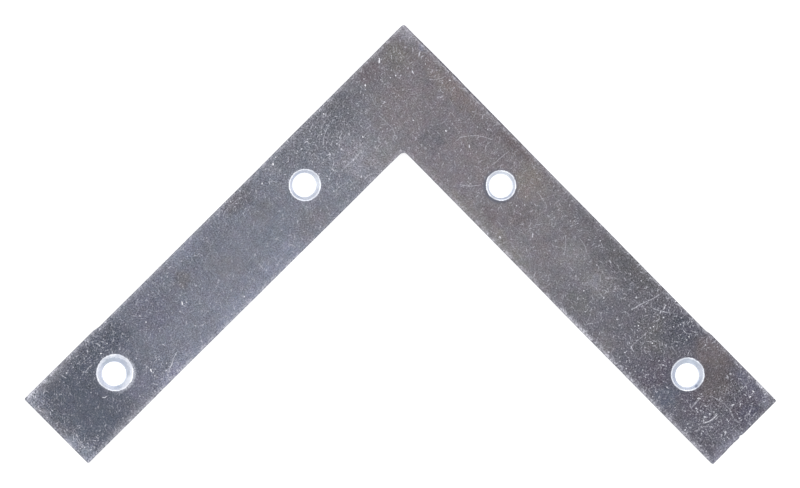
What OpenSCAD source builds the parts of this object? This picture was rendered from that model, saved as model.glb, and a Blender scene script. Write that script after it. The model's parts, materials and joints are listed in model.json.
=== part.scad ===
// Flat corner brace: one L-shaped plate stamped from steel sheet, with two
// countersunk screw holes in each leg. The origin is on the back face where the
// centre lines of the two legs cross, so all four holes lie on the X and Y axes.
// The countersinks open on the front face, toward +Z.

/* [Plate] */
// Length of the leg along X, from the outer corner to its end
leg_x = 100; // [76:1:200]
// Length of the leg along Y, from the outer corner to its end
leg_y = 100; // [76:1:200]
// Width of both legs
leg_w = 16.7; // [13:0.1:25]
// Thickness of the steel sheet
plate_t = 2; // [1.6:0.1:4]

/* [Outline] */
// Rounding of the outer corner
outer_corner_r = 0.5; // [0.2:0.1:4]
// Rounding of the inner corner
inner_corner_r = 1.1; // [0.8:0.1:6]
// Rounding of the corners at the ends of the legs
end_corner_r = 0.25; // [0.1:0.05:3]
// How far each outer edge steps out near the end of its leg
step_out = 0.25; // [0.05:0.05:1]
// Distance from the end of a leg to the step in its outer edge
step_from_end = 18.2; // [10:0.1:30]

/* [Rolled edge] */
// Width of the soft band that stamping rolls round the front face
roll_w = 0.6; // [0.3:0.05:0.8]
// Depth of the rolled band at the edge
roll_d = 0.15; // [0.05:0.05:0.3]

/* [Screw holes] */
// Bore of the holes, which passes a 4 mm wood screw
hole_d = 4.5; // [3.6:0.1:5.2]
// Distance from the outer corner to the first hole of each leg
corner_hole_at = 34.5; // [26:0.5:38]
// Distance from the end of each leg to its last hole
end_hole_at = 15.3; // [6:0.1:24]

/* [Countersinks] */
// Full angle of the countersinks
sink_angle = 90; // [80:1:110]
// Mouth of the countersink at the first hole of the X leg
sink_x_first_d = 6.1; // [5.8:0.1:8]
// Mouth of the countersink at the last hole of the X leg
sink_x_last_d = 7; // [5.8:0.1:8]
// Mouth of the countersink at the first hole of the Y leg
sink_y_first_d = 5.8; // [5.8:0.1:8]
// Mouth of the countersink at the last hole of the Y leg
sink_y_last_d = 6.4; // [5.8:0.1:8]
// Rounding of the rim where a countersink meets the front face
rim_r = 0.4; // [0.1:0.05:0.6]

/* [Hidden] */
$fn = 96;

// How far the cutting shapes run past the surfaces that they cut
past = 0.5;

// Outer and inner edges of both legs, on either side of the centre lines
outer_edge = -leg_w / 2;
inner_edge = leg_w / 2;
stepped_edge = outer_edge - step_out;

// Ends of the legs, and the places of the steps
end_x = outer_edge + leg_x;
end_y = outer_edge + leg_y;
step_x = end_x - step_from_end;
step_y = end_y - step_from_end;

// Radius of the arc that makes the rolled band: flat at the front face, and
// dropping by roll_d at the edge
roll_r = (roll_w * roll_w + roll_d * roll_d) / (2 * roll_d);

// Place and countersink mouth of every hole
first_hole = outer_edge + corner_hole_at;
holes = [
    [[first_hole, 0], sink_x_first_d],
    [[end_x - end_hole_at, 0], sink_x_last_d],
    [[0, first_hole], sink_y_first_d],
    [[0, end_y - end_hole_at], sink_y_last_d]
];

// What rounding an outside corner takes away. The corner is at the origin and
// the plate lies toward +X and +Y.
module corner_waste(r) {
    difference() {
        translate([-past, -past]) square(r + past);
        translate([r, r]) circle(r);
    }
}

// What rounding an inside corner adds. The corner is at the origin and the gap
// lies toward +X and +Y.
module corner_fill(r) {
    difference() {
        square(r);
        translate([r, r]) circle(r);
    }
}

// Outline of the plate
module outline() {
    difference() {
        union() {
            translate([outer_edge, outer_edge]) square([leg_x, leg_w]);
            translate([outer_edge, outer_edge]) square([leg_w, leg_y]);
            translate([step_x, stepped_edge]) square([step_from_end, leg_w]);
            translate([stepped_edge, step_y]) square([leg_w, step_from_end]);
            translate([inner_edge, inner_edge]) corner_fill(inner_corner_r);
        }
        translate([outer_edge, outer_edge]) corner_waste(outer_corner_r);
        translate([end_x, stepped_edge]) rotate(90) corner_waste(end_corner_r);
        translate([end_x, inner_edge]) rotate(180) corner_waste(end_corner_r);
        translate([inner_edge, end_y]) rotate(180) corner_waste(end_corner_r);
        translate([stepped_edge, end_y]) rotate(270) corner_waste(end_corner_r);
    }
}

// Section of what the rolled band takes away: the edge of the plate is at
// x = 0 and the plate lies toward +X, with height along Y
module roll_section() {
    difference() {
        translate([-past, plate_t - roll_d]) square([roll_w + past, roll_d + past]);
        translate([roll_w, plate_t - roll_r]) circle(roll_r);
    }
}

// Rolled band along a straight edge from a to b, with the plate on the left
module roll_along(a, b) {
    run = b - a;
    translate([a.x, a.y, 0])
        rotate([0, 0, atan2(run.y, run.x)])
            rotate([90, 0, 90])
                linear_extrude(norm(run))
                    roll_section();
}

// Rolled band round the inside corner
module roll_round_inner_corner() {
    centre = inner_edge + inner_corner_r;
    translate([centre, centre, 0])
        rotate([0, 0, 180])
            rotate_extrude(angle = 90)
                translate([inner_corner_r, 0])
                    roll_section();
}

// Rolled band round the whole outline
module rolled_band() {
    fillet_end = inner_edge + inner_corner_r;
    // X leg: outer edge, stepped edge, end, inner edge
    roll_along([outer_edge - past, outer_edge], [step_x, outer_edge]);
    roll_along([step_x, stepped_edge], [end_x + past, stepped_edge]);
    roll_along([end_x, stepped_edge - past], [end_x, inner_edge + past]);
    roll_along([end_x + past, inner_edge], [fillet_end, inner_edge]);
    roll_round_inner_corner();
    // Y leg: inner edge, end, stepped edge, outer edge
    roll_along([inner_edge, fillet_end], [inner_edge, end_y + past]);
    roll_along([inner_edge + past, end_y], [stepped_edge - past, end_y]);
    roll_along([stepped_edge, end_y + past], [stepped_edge, step_y]);
    roll_along([outer_edge, step_y], [outer_edge, outer_edge - past]);
}

// Countersunk hole with its axis on Z. The mouth is measured where the rounded
// rim meets the front face.
module screw_hole(mouth_d) {
    half_angle = sink_angle / 2;
    turn = 90 - half_angle;
    sharp_r = mouth_d / 2 - rim_r * tan(turn / 2);
    sink_depth = (sharp_r - hole_d / 2) / tan(half_angle);
    rim_on_cone = [mouth_d / 2 - rim_r * sin(turn), plate_t - rim_r * (1 - cos(turn))];
    translate([0, 0, -past]) cylinder(d = hole_d, h = plate_t + 2 * past);
    rotate_extrude()
        difference() {
            polygon([
                [0, plate_t - sink_depth],
                [hole_d / 2, plate_t - sink_depth],
                rim_on_cone,
                [mouth_d / 2, plate_t],
                [mouth_d / 2, plate_t + past],
                [0, plate_t + past]
            ]);
            translate([mouth_d / 2, plate_t - rim_r]) circle(rim_r);
        }
}

// The whole brace: zinc-plated steel plate
module brace_plate() {
    color([0.52, 0.52, 0.56])
        difference() {
            linear_extrude(plate_t) outline();
            rolled_band();
            for (hole = holes)
                translate([hole[0].x, hole[0].y, 0]) screw_hole(hole[1]);
        }
}

brace_plate();
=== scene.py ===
"""Looks of the flat corner brace: a scuffed, zinc-plated steel plate lying on a white table."""

import json
import math
from collections import namedtuple

import bmesh
import bpy
from mathutils import Matrix, Vector, geometry, noise


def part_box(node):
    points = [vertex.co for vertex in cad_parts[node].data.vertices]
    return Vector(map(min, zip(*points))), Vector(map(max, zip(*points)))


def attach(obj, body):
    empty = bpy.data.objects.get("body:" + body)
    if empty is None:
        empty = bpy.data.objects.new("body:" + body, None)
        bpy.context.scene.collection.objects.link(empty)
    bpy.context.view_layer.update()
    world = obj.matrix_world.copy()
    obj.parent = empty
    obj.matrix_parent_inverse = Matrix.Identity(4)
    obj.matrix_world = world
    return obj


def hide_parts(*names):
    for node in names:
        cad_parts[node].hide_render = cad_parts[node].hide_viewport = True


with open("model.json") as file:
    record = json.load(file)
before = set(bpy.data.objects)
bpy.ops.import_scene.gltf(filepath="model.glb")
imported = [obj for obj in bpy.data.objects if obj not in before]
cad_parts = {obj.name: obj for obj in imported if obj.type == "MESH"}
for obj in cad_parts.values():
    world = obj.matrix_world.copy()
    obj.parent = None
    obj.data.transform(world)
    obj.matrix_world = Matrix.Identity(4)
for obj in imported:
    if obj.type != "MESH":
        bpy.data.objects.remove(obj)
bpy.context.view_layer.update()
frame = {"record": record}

MM = 0.001
NODE = "brace_plate"

# Sizes that repeat the plate's construction, in millimetres
STEP_OUT = 0.25
STEP_FROM_END = 18.2
OUTER_CORNER_R = 0.5
INNER_CORNER_R = 1.1
END_CORNER_R = 0.25
ROLL_W = 0.6
ROLL_D = 0.15
RIM_R = 0.4
SINK_SLOPE = math.radians(45)

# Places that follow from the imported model, in millimetres
low, high = (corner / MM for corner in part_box(NODE))
THICK = high.z
OUTER = low.x + STEP_OUT
INNER = -OUTER
END = high.x
STEP_AT = END - STEP_FROM_END

Hole = namedtuple("Hole", "centre radius land sink_centre")

# How far each countersink was cut off its bore's axis, by leg and by whether the hole is near the corner
SINK_SHIFTS = {
    ("x", True): (-0.02, 0.03),
    ("x", False): (-0.21, -0.12),
    ("y", True): (-0.06, -0.08),
    ("y", False): (-0.12, -0.15),
}


def screw_holes():
    """Centre, bore radius, land length and countersink centre of every hole, from the record's mounts."""
    holes = []
    for mount in frame["record"]["mounts"]:
        if mount["kind"] == "bore":
            x, y, _ = (value / MM for value in mount["pos_m"])
            centre = Vector((x, y))
            sink_centre = centre + Vector(SINK_SHIFTS["x" if x > y else "y", max(x, y) < END / 2])
            holes.append(Hole(centre, mount["dims"]["r_mm"], mount["dims"]["length_mm"], sink_centre))
    return holes


HOLES = screw_holes()


def add_object(name, data):
    """A new object in the scene, made of this camera, mesh or lamp."""
    made = bpy.data.objects.new(name, data)
    bpy.context.scene.collection.objects.link(made)
    return made


# -------- camera

def add_camera():
    """A long lens that looks down on the plate, a few degrees off the vertical."""
    distance = 1500 * MM
    frame_width = 150.05 * MM
    target = Vector((OUTER + 29.56, OUTER + 28.82, THICK)) * MM
    lean = Vector((0.0554, -0.0716, 1)).normalized()
    roll = math.radians(0.29)
    level = Vector((-1, -1, 0)).cross(lean).normalized()
    right = level * math.cos(roll) + lean.cross(level) * math.sin(roll)
    data = bpy.data.cameras.new("camera")
    data.sensor_width = 36
    data.lens = data.sensor_width * distance / frame_width
    data.clip_end = 10
    camera = add_object("camera", data)
    camera.matrix_world = Matrix((right, lean.cross(right), lean)).transposed().to_4x4()
    camera.location = target + lean * distance
    bpy.context.scene.camera = camera


add_camera()


# -------- plate mesh

# Corners of the plain L in order, counter-clockwise: place, rounding, and whether it sticks out
CORNERS = (
    (Vector((OUTER, OUTER)), OUTER_CORNER_R, True),
    (Vector((END, OUTER)), END_CORNER_R, True),
    (Vector((END, INNER)), END_CORNER_R, True),
    (Vector((INNER, INNER)), INNER_CORNER_R, False),
    (Vector((INNER, END)), END_CORNER_R, True),
    (Vector((OUTER, END)), END_CORNER_R, True),
)

# Pieces of a rounded corner, length of the pieces between the corners, and least radius of an inset corner
ARC_PIECES = 8
SPAN_PIECE = 0.35
LEAST_R = 0.03

# Widths of the even bands of faces along the plate's edge and round each hole
BAND = 0.8
COLLAR = 0.4


def left_of(direction):
    return Vector((-direction.y, direction.x))


def corner_arc(index, inset):
    """Points along the arc of one corner of the outline, inset from the edge."""
    place, radius, convex = CORNERS[index]
    before = CORNERS[index - 1][0]
    after = CORNERS[(index + 1) % len(CORNERS)][0]
    inward_in = left_of((place - before).normalized())
    inward_out = left_of((after - place).normalized())
    if convex:
        arc_r = max(radius - inset, LEAST_R)
        centre = place + (inset + arc_r) * (inward_in + inward_out)
        start = -inward_in
        turn = math.pi / 2
    else:
        arc_r = radius + inset
        centre = place - radius * (inward_in + inward_out)
        start = inward_in
        turn = -math.pi / 2
    first = math.atan2(start.y, start.x)
    angles = [first + turn * step / ARC_PIECES for step in range(ARC_PIECES + 1)]
    return [centre + arc_r * Vector((math.cos(a), math.sin(a))) for a in angles]


def outline_ring(inset):
    """The whole outline, inset from the edge, with the same number of points at every inset."""
    arcs = [corner_arc(index, inset) for index in range(len(CORNERS))]
    ring = []
    for index, arc in enumerate(arcs):
        after = (index + 1) % len(arcs)
        pieces = round((CORNERS[after][0] - CORNERS[index][0]).length / SPAN_PIECE)
        ring += arc
        ring += [arc[-1].lerp(arcs[after][0], step / pieces) for step in range(1, pieces)]
    return ring


def smooth(value, start, end):
    """0 before start, 1 after end, and a smooth rise between."""
    share = min(max((value - start) / (end - start), 0), 1)
    return share * share * (3 - 2 * share)


def wander(along, seed):
    """A slow, smooth unevenness along an edge, with a finer one on it."""
    size, fine_share = 0.03, 0.35
    slow = noise.noise(Vector((along * 0.09, seed, 0.3)))
    fine = noise.noise(Vector((along * 0.6, seed, 7.1)))
    return size * slow + fine_share * size * fine


def bulge(along, across, step_start, step_end, seed, wider):
    """How far an outer edge lies outside the plain L, fading out towards the corner and the leg's middle."""
    step = STEP_OUT * smooth(along, step_start, step_end)
    uneven = smooth(along, OUTER + 2, OUTER + 9) * (wander(along, seed) + wider)
    return min(step + uneven, STEP_OUT) * (1 - smooth(across, 1, 6))


def inner_bulge(along, across, near, far, seed):
    """How far a leg's inner edge lies outside the plain L, near the corner and far from it."""
    size = near + (far - near) * smooth(along, INNER + 20, INNER + 60) + wander(along, seed)
    return size * smooth(along, INNER + 1.5, INNER + 6) * smooth(across, INNER - 5, INNER - 1)


def corner_shift(x, y):
    """How far the inner corner itself lies along the y leg from where the plain L has it."""
    shift = 0.2
    near_x = smooth(x, INNER - 2, INNER) * (1 - smooth(x, INNER + 1.5, INNER + 6))
    near_y = smooth(y, INNER - 5, INNER - 1) * (1 - smooth(y, INNER + 2, INNER + 7))
    return shift * near_x * near_y


def end_dent(across):
    """How far the end of the y leg lies inside the plain L: a nick and a shallow dip in the sheared end."""
    nick_at = OUTER + 9.3
    nick_depth, nick_reach, dip_depth = 0.26, 0.4, 0.07
    in_nick = max(0.0, 1 - abs(across - nick_at) / nick_reach)
    in_dip = smooth(across, nick_at + 0.8, nick_at + 1.8) * (1 - smooth(across, nick_at + 3, nick_at + 4.2))
    return nick_depth * in_nick + dip_depth * in_dip


def shaped(x, y):
    """Moves a point of the plain L to where the real, slightly uneven outline has it."""
    moved_y = y + corner_shift(x, y)
    if x > y:
        wider = -0.03 - 0.05 * smooth(x, OUTER + 31, OUTER + 37)
        outward = bulge(x, y - OUTER, STEP_AT - 1.6, STEP_AT + 0.4, 1.5, wider)
        return x, moved_y - outward + inner_bulge(x, y, near=0.16, far=0.1, seed=8.5)
    wider = 0.09 - 0.06 * smooth(y, OUTER + 13, OUTER + 18) - 0.03 * smooth(y, OUTER + 27, OUTER + 36)
    outward = bulge(y, x - OUTER, STEP_AT - 0.9, STEP_AT + 0.7, 4.5, wider)
    inward = inner_bulge(y, x, near=0.0, far=0.09, seed=11.5)
    return x - outward + inward, moved_y - end_dent(x) * smooth(y, END - 2, END - 0.4)


# Insets at which the rolled band is divided
ROLL_INSETS = (0.6, 0.5, 0.4, 0.3, 0.22, 0.15, 0.09, 0.04)


def edge_profile():
    """Section of the edge from the front face down to the back face: inset, height, and how rough it is."""
    arc_r = (ROLL_W ** 2 + ROLL_D ** 2) / (2 * ROLL_D)
    profile = [(BAND, THICK, 0), (0.68, THICK, 0)]
    for inset in ROLL_INSETS:
        height = THICK - arc_r + math.sqrt(arc_r ** 2 - (ROLL_W - inset) ** 2)
        profile.append((inset, height, 0.15))
    wall_top = THICK - ROLL_D
    return profile + [
        (0.012, wall_top - 0.005, 0.3), (0, wall_top - 0.04, 0.4), (0, 1.6, 0.4), (0, 1.35, 0.5),
        (0, 1.15, 0.6), (0.02, 1.05, 1), (0.045, 0.9, 1), (0.05, 0.7, 1), (0.05, 0.5, 1), (0.045, 0.3, 1),
        (0.03, 0.12, 0.8), (0.05, 0.02, 0.3), (0.1, 0, 0), (0.6, 0, 0), (BAND, 0, 0),
    ]


def front_mouth(hole):
    """Radius at which a countersink's rounded rim meets the front face."""
    return hole.radius + THICK - hole.land + RIM_R * math.tan(SINK_SLOPE / 2)


def hole_profile(radius, land, mouth):
    """Section of a screw hole from the front face down to the back face: radius, height."""
    profile = [(mouth + COLLAR, THICK), (mouth + 0.2, THICK)]
    for step in range(7):
        turn = SINK_SLOPE * step / 6
        profile.append((mouth - RIM_R * math.sin(turn), THICK - RIM_R * (1 - math.cos(turn))))
    start_r, start_z = profile[-1]
    for step in range(1, 6):
        share = step / 6
        profile.append((start_r + (radius - start_r) * share, start_z + (land - start_z) * share))
    return profile + [
        (radius + 0.02, land + 0.02), (radius, land - 0.03), (radius, land * 0.6), (radius, land * 0.3),
        (radius, 0.05), (radius + 0.03, 0), (radius + 0.2, 0), (radius + COLLAR, 0),
    ]


# Material slots, and the distance that stands for all that is far away
FACE, WALL, SINK = 0, 1, 2
FAR = 50.0


class Plate:
    """Collects the plate's points and faces, with what the materials need to know at each point."""

    def __init__(self):
        self.points = []
        self.known = {"edge_mm": [], "rim_mm": [], "bore_mm": [], "scratch": []}
        self.faces = []
        self.slots = []

    def add(self, point, edge, rim, bore=FAR, mark=0.0):
        """A point, its distances from the edge, a countersink's mouth and a bore, and how marked it is."""
        self.points.append(point)
        for values, value in zip(self.known.values(), (edge, rim, bore, mark)):
            values.append(value)
        return len(self.points) - 1

    def face(self, corners, slot):
        self.faces.append(corners)
        self.slots.append(slot)

    def bridge(self, upper, lower, slot):
        """Quads between two closed rings of the same length."""
        for index in range(len(upper)):
            after = (index + 1) % len(upper)
            self.face((upper[index], lower[index], lower[after], upper[after]), slot)


def add_edge(plate):
    """The rolled band and the sheared wall. Returns the innermost rings of the front and the back."""
    most_rough, inward = 0.03, 0.1
    rings = []
    for inset, height, rough in edge_profile():
        ring = []
        for place, further in zip(outline_ring(inset), outline_ring(inset + inward)):
            grain = noise.noise(Vector((place.x * 2.3, place.y * 2.3, height * 1.4)))
            depth = most_rough * rough * (0.5 + grain)
            place = place.lerp(further, max(depth, 0) / inward)
            ring.append(plate.add((*shaped(*place), height), inset, FAR))
        rings.append((height, ring))
    for (upper_z, upper), (lower_z, lower) in zip(rings, rings[1:]):
        on_face = lower_z > THICK - ROLL_D - 0.001 or upper_z < 0.001
        plate.bridge(upper, lower, FACE if on_face else WALL)
    return rings[0][1], rings[-1][1]


# Points round a hole, how uneven a countersink's mouth is, and for each unevenness its spread and strength
HOLE_PIECES = 96
RIM_UNEVEN = 0.03
RIM_NOISES = ((1.6, 1.6), (6, 1), (13, 0.7))


def add_hole(plate, hole):
    """One countersunk hole. Returns its outermost rings on the front and the back."""
    mouth = front_mouth(hole)
    rings = []
    for ring_r, height in hole_profile(hole.radius, hole.land, mouth):
        to_sink = smooth(height, hole.land, THICK - RIM_R * 0.3)
        middle = hole.centre.lerp(hole.sink_centre, to_sink)
        uneven = RIM_UNEVEN * to_sink * smooth(ring_r, mouth + COLLAR, mouth + 0.1)
        ring = []
        for step in range(HOLE_PIECES):
            angle = 2 * math.pi * step / HOLE_PIECES
            out = Vector((math.cos(angle), math.sin(angle)))
            ragged = 1.0
            for spread, size in RIM_NOISES:
                ragged += size * noise.noise(Vector((*(hole.centre + out * spread), 0.5)))
            place = middle + out * (ring_r + uneven * ragged)
            ring.append(plate.add((*place, height), FAR, ring_r - mouth, ring_r - hole.radius))
        rings.append((height, ring))
    for (upper_z, upper), (lower_z, lower) in zip(rings, rings[1:]):
        on_face = lower_z > THICK - 1e-6 or upper_z < 1e-6
        plate.bridge(lower, upper, FACE if on_face else SINK)
    return rings[0][1], rings[-1][1]


def edge_distance(x, y):
    """Distance from a point inside the plain L to its nearest edge."""
    if x > INNER:
        return min(y - OUTER, INNER - y, END - x)
    if y > INNER:
        return min(x - OUTER, INNER - x, END - y)
    return min(x - OUTER, y - OUTER, math.hypot(INNER - x, INNER - y))


# -------- scratches and dents

# Here and below, a place on a leg is given along it from the plate's outer corner and across it from its
# outer edge, in millimetres. Each table keeps its rows by leg.

# Scratches on the front: width, brightness, and the places that each runs through
SCRATCHES = {"x": (
    (0.42, 1.8, (7.7, 1.2), (8.1, 1.6), (8.6, 2.1)), (0.25, 0.3, (8.2, 2.6), (8.7, 3.6), (9.3, 4.5)),
    (0.25, 0.5, (3.8, 1.6), (4.3, 2.4), (4.9, 2.7)), (0.25, 0.5, (4.3, 1.5), (4.8, 2), (5, 2.6)),
    (0.32, 1.1, (0.9, 5.4), (1.6, 5.9), (2.5, 6.4)), (0.29, 0.8, (1.4, 6.9), (2, 6.7), (2.3, 7.1)),
    (0.36, 1.3, (5, 7.2), (5.2, 7.6), (5.3, 8)), (0.65, 0.3, (4.1, 15.1), (4.8, 14.7), (5.5, 14.2)),
    (0.25, 0.45, (15.5, 8.6), (15.3, 10.8), (15.4, 12.8), (16.2, 13.8)),
    (0.26, 0.3, (13.8, 4.6), (14.1, 5.9), (14.6, 7.1)), (0.26, 0.4, (16.2, 6), (16.5, 6.8), (16.8, 7.4)),
    (0.26, 0.3, (18.1, 4.2), (17.7, 5.4), (17.4, 6.9)),
    (0.26, 0.3, (20.8, 2), (23, 2.4), (25.4, 3.3), (27.3, 5)),
    (0.29, 0.6, (23.3, 3.5), (25.3, 4.3), (27, 5.6)), (0.36, 0.4, (22.6, 11.3), (25, 11.4), (28, 11.3)),
    (0.26, 0.5, (23.1, 6.9), (23.7, 7.1), (24.3, 7.7)),
    (0.26, 0.35, (19.2, 12.7), (19.9, 13.2), (20.5, 14.1)), (0.26, 0.6, (22.7, 1.7), (23, 1.5), (23.4, 1.2)),
    (0.29, 0.5, (26.7, 12), (27.1, 12.5), (27.7, 12.9)),
    (0.25, 0.4, (44.2, 1.8), (45.6, 1.4), (48.4, 1.3), (49.6, 1.9)),
    (0.29, 0.5, (32.8, 2.2), (33.3, 2.8), (33.9, 3.2)), (0.26, 0.5, (37.9, 4.6), (38.2, 3.6), (38.9, 3.1)),
    (0.26, 0.4, (45.8, 6.3), (46.3, 6.7), (46.9, 7.3)), (0.32, 0.4, (44.5, 14.2), (44.1, 14.7), (43.8, 15.4)),
    (0.26, 0.6, (51, 12.5), (51, 13.3), (51.2, 14.2)), (0.26, 0.8, (62.8, 1.5), (63.4, 1.4), (64, 1.4)),
    (0.26, 0.4, (63.3, 9.5), (63.8, 9.9), (64.3, 10.5)), (0.27, 1, (73.4, 13.6), (75, 14.2), (78.4, 15.8)),
    (0.26, 0.8, (76.2, 14.9), (77.4, 15.2), (78.4, 15.9)),
    (0.24, 0.7, (77.5, 14.5), (77.2, 15.1), (76.8, 15.6)),
    (0.24, 0.6, (75.2, 14.8), (74.8, 15.3), (74.5, 15.6)), (0.26, 0.8, (86.4, 4.3), (87.2, 4.1), (88.5, 4.3)),
    (0.26, 0.8, (88.1, 4.9), (88.3, 4.3), (88.8, 3.6)), (0.28, 1.2, (89.5, 9.7), (89.1, 10.2), (88.4, 10.3)),
    (0.36, 0.9, (83.3, 1.7), (83, 2.2), (82.9, 2.8)), (0.26, 0.8, (92, 1.1), (91.8, 2), (91.6, 2.8)),
    (0.29, 0.5, (97.8, 10.4), (97.9, 12), (98.5, 13.6)),
    (0.29, 0.7, (98.1, 11.6), (98.5, 12.6), (98.7, 14.2)), (0.3, 1, (12.6, 7.7), (13, 7.9), (13.5, 7.8)),
    (0.26, 0.6, (17.3, 9.1), (18.2, 9.1), (19.1, 8.9)), (0.26, 0.5, (17.9, 13.1), (18.1, 13.5), (18.4, 13.9)),
    (0.26, 0.5, (18.4, 13.2), (18.1, 13.5), (17.8, 13.7)), (0.29, 0.7, (37.1, 1.3), (37.2, 1.6), (37.4, 2)),
    (0.34, 1.9, (66.2, 7.5), (66.4, 7.9), (66.7, 8.2)), (0.34, 1.9, (79.2, 12.3), (79.4, 12.7), (79.6, 13.1)),
    (0.24, 0.7, (80.3, 15.7), (80.6, 15.1), (81, 14.4)), (0.24, 0.35, (44.8, 12.9), (45.3, 12), (46.2, 10.9)),
    (0.24, 0.3, (96.6, 14), (97.8, 13.2), (98.9, 13)),
), "y": (
    (0.26, 0.4, (12.7, 1), (11.9, 2.7), (10.6, 4.1)), (0.26, 0.3, (18, 5.4), (18.4, 7.4), (17.7, 9.1)),
    (0.26, 0.3, (18.5, 6.8), (20.4, 6.7), (22.1, 6.9)),
    (0.27, 0.55, (22.4, 7.6), (23.6, 6), (25.1, 4.5), (27.5, 3.3)),
    (0.26, 0.35, (20.8, 1.4), (21.5, 2.4), (21.9, 4.1)), (0.26, 0.7, (22.5, 1.3), (22.8, 1.7), (23.1, 2.2)),
    (0.24, 0.5, (23.8, 12.8), (23.9, 13.3), (24, 13.9)),
    (0.24, 0.5, (28.6, 13.9), (29.6, 13.2), (30.3, 12.6), (31.7, 11)),
    (0.26, 0.5, (52.3, 13.8), (52.4, 14.2), (52.5, 14.6)), (0.43, 0.4, (16.5, 13), (16.9, 13.5), (17.1, 14)),
    (0.24, 0.5, (29, 3.6), (29.1, 4.4), (29.2, 5.3)), (0.24, 0.5, (30.9, 2.4), (30.7, 4.6), (30.5, 7)),
    (0.24, 0.45, (27.3, 3.7), (27.1, 5), (28, 6.2)), (0.26, 0.4, (39.2, 9.4), (39.6, 9.9), (40.1, 10.6)),
    (0.27, 0.38, (40, 4.2), (42, 4.6), (43.2, 4.9), (43.9, 5.9)),
    (0.26, 0.5, (41, 6.2), (41.8, 6.3), (42.3, 5.5)),
    (0.3, 0.42, (49.6, 6.2), (50.6, 7.2), (51.3, 7.9), (52.3, 9.3)),
    (0.26, 0.35, (43.5, 14.8), (45.6, 14.9), (47.4, 15.3)),
    (0.27, 0.42, (51.8, 4.7), (53.8, 5.1), (54.9, 5.9)), (0.26, 0.5, (53.8, 9.8), (54.8, 9.9), (55.7, 9.8)),
    (0.26, 0.9, (68.3, 7.5), (69, 5), (69.8, 2.8), (70.1, 1.1)),
    (0.32, 1.1, (72.3, 1.8), (72.5, 2.4), (72.7, 3.1)), (0.26, 0.4, (70.2, 4.3), (71.9, 3.8), (74.3, 2.2)),
    (0.26, 0.45, (73.5, 7.9), (73.4, 9.6), (73.3, 12.1), (74.5, 12.4)),
    (0.26, 0.4, (76.7, 1.5), (77.3, 2.1), (77.9, 2.8)), (0.26, 0.6, (78.9, 2), (79.8, 1.7), (80.5, 1.1)),
    (0.26, 0.5, (79.9, 12.3), (80.4, 12.9), (81.2, 13)), (0.4, 0.35, (14.1, 5.2), (14.6, 4.6), (15, 4.2)),
    (0.32, 0.5, (65, 6.3), (65.4, 6), (65.8, 5.7)), (0.26, 0.7, (62, 9.3), (62.6, 9.4), (63.1, 9.3)),
    (0.26, 0.7, (70.7, 9.8), (71.1, 9.8), (71.5, 9.8)), (0.28, 0.8, (73.1, 12.2), (73.7, 12.3), (74.4, 12.5)),
    (0.34, 1.3, (24.7, 7.1), (25, 7.4), (25.3, 7.6)), (0.3, 1.4, (89, 10.1), (89.3, 9.8), (89.7, 9.7)),
    (0.28, 1.1, (44.9, 10.2), (45.3, 10.7), (45.7, 11.1)), (0.26, 0.4, (63.2, 5.9), (63.3, 6.6), (63.6, 7.2)),
    (0.32, 1.2, (93.9, 9.4), (93.8, 11.2), (93.2, 12.6)),
    (0.26, 0.4, (93.1, 12.8), (93.5, 13.6), (93.3, 14.8)),
    (0.3, 0.4, (90.2, 8), (92, 7.5), (94.6, 7.2), (97, 7.9), (98.5, 7.4)),
    (0.26, 0.4, (91.5, 4.8), (91.9, 5.3), (92.5, 6.3)), (0.5, 0.55, (89.4, 9.9), (89.4, 11.1), (89.6, 12.3)),
    (0.28, 0.8, (97.5, 4), (98, 5.1), (97.8, 6), (98.6, 6.7)),
    (0.26, 0.9, (98.9, 3.9), (98.8, 4.5), (98.95, 5.1)), (0.26, 0.4, (93.9, 12.9), (95, 13.3), (96.6, 13.5)),
    (0.26, 0.5, (88.2, 12.6), (88.4, 13.3), (88.8, 14)),
    (0.36, 0.3, (91.4, 13.4), (91.9, 14.2), (92.2, 15.4)), (0.26, 0.6, (79, 11.2), (79.9, 10.4), (80.6, 10)),
    (0.42, 0.9, (89.8, 3), (90.2, 3.2), (90.6, 3.4)), (0.43, 1.2, (94.5, 6.6), (94.7, 6.2), (94.8, 5.8)),
)}

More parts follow.
